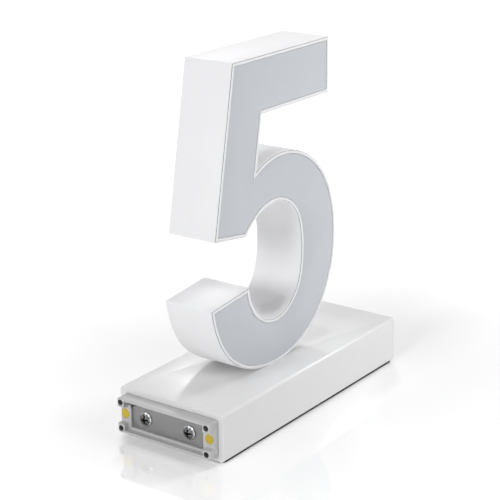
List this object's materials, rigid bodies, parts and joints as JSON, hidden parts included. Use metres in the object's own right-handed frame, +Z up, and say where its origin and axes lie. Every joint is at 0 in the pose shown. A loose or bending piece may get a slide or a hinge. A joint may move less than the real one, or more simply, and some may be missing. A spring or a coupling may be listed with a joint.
{
  "type": "illuminated house number",
  "caption": "Lit house number: a deep opal figure five with a grey front, standing on a bar with a plug at one end and a socket with sprung contacts at the other.",
  "frame": {"origin": "on the standing surface, under the middle of the bar's length and depth", "axes": "+X along the bar to the reader's right, from the plug to the socket; the figure's front looks towards -Y; +Z is up"},
  "size_m": [0.1753, 0.0684, 0.1999],
  "materials": {
    "housing": "satin",
    "opal": "satin",
    "face": "matt film",
    "rubber": "matt",
    "silicone": "matt",
    "plate": "satin",
    "steel": "bright zinc",
    "gold": "bright gold",
    "aluminium": "as drawn",
    "board": "solder mask",
    "light_board": "white solder mask",
    "ferrite": "matt",
    "sleeve": "gloss",
    "terminal": "matt",
    "lead_red": "matt",
    "lead_black": "matt",
    "chip": "gloss"
  },
  "bodies": {
    "lamp": {"base_housing": "housing", "underside_mat": "rubber", "hatch_cover": "housing", "hatch_gasket": "silicone", "hatch_screws": "steel", "plug_frame": "housing", "plug_gasket": "silicone", "plug_plate": "plate", "plug_screws": "steel", "contact_pad_front": "gold", "contact_pad_rear": "gold", "socket_frame": "housing", "socket_gasket": "silicone", "socket_plate": "plate", "socket_screws": "steel", "guide_pins": "steel", "tie_rods": "aluminium", "contact_sleeve_front": "gold", "contact_spring_front": "steel", "contact_sleeve_rear": "gold", "contact_spring_rear": "steel", "driver_board": "board", "board_screws": "steel", "driver_choke": "ferrite", "driver_capacitors": "sleeve", "driver_terminals": "terminal", "inlet_lead_front": "lead_red", "inlet_lead_rear": "lead_black", "outlet_lead_front": "lead_red", "outlet_lead_rear": "lead_black", "figure_lead_front": "lead_red", "figure_lead_rear": "lead_black", "figure_body": "opal", "figure_seal": "silicone", "figure_cover": "opal", "figure_face": "face", "figure_gasket": "silicone", "figure_block": "aluminium", "figure_screws": "steel", "lead_grommet": "rubber", "light_board": "light_board", "light_screws": "steel", "light_chips": "chip", "light_connector": "terminal"},
    "plunger_front": {"contact_plunger_front": "gold"},
    "plunger_rear": {"contact_plunger_rear": "gold"}
  },
  "joints": [
    {"name": "press_front", "type": "slide", "parent": "lamp", "child": "plunger_front", "axis": [-1, 0, 0], "range_m": [0, 0.0015], "stiffness_N_per_m": 700, "springref_m": -0.001, "deforming": ["contact_spring_front"]},
    {"name": "press_rear", "type": "slide", "parent": "lamp", "child": "plunger_rear", "axis": [-1, 0, 0], "range_m": [0, 0.0015], "stiffness_N_per_m": 700, "springref_m": -0.001, "deforming": ["contact_spring_rear"]}
  ]
}
